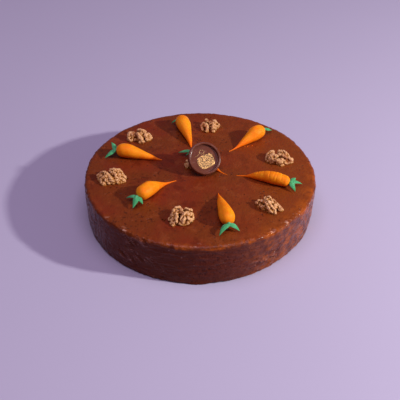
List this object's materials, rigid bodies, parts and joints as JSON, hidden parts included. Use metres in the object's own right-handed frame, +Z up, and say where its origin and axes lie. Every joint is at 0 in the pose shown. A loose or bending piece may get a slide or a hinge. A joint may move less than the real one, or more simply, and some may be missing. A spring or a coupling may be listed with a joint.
{
  "type": "carrot cake",
  "caption": "Whole round carrot cake in glossy caramel-brown glaze, topped with sugar-paste carrots, walnut halves and a leaning chocolate disc; it rests flat on its underside.",
  "frame": {"origin": "middle of the flat underside of the cake", "axes": "+Z up out of the cake's top, +Y away from the front, +X to the right as seen from the front"},
  "size_m": [0.2399, 0.2395, 0.0756],
  "materials": {
    "glaze": "glossy caramel-brown glaze, slightly translucent, over a rough cake side",
    "sugar_orange": "satin orange sugar paste",
    "sugar_green": "satin green sugar paste",
    "walnut": "dry wrinkled walnut kernel with darker skin in the folds",
    "chocolate": "satin tempered chocolate with a plain gold print"
  },
  "bodies": {
    "root": {"cake_body": "glaze", "carrot_1": "sugar_orange", "carrot_2": "sugar_orange", "carrot_3": "sugar_orange", "carrot_4": "sugar_orange", "carrot_5": "sugar_orange", "carrot_6": "sugar_orange", "carrot_7": "sugar_orange", "carrot_leaves_1": "sugar_green", "carrot_leaves_2": "sugar_green", "carrot_leaves_3": "sugar_green", "carrot_leaves_4": "sugar_green", "carrot_leaves_5": "sugar_green", "carrot_leaves_6": "sugar_green", "carrot_leaves_7": "sugar_green", "walnut_1": "walnut", "walnut_2": "walnut", "walnut_3": "walnut", "walnut_4": "walnut", "walnut_5": "walnut", "walnut_6": "walnut", "walnut_7": "walnut", "chocolate_disc": "chocolate"}
  },
  "joints": []
}
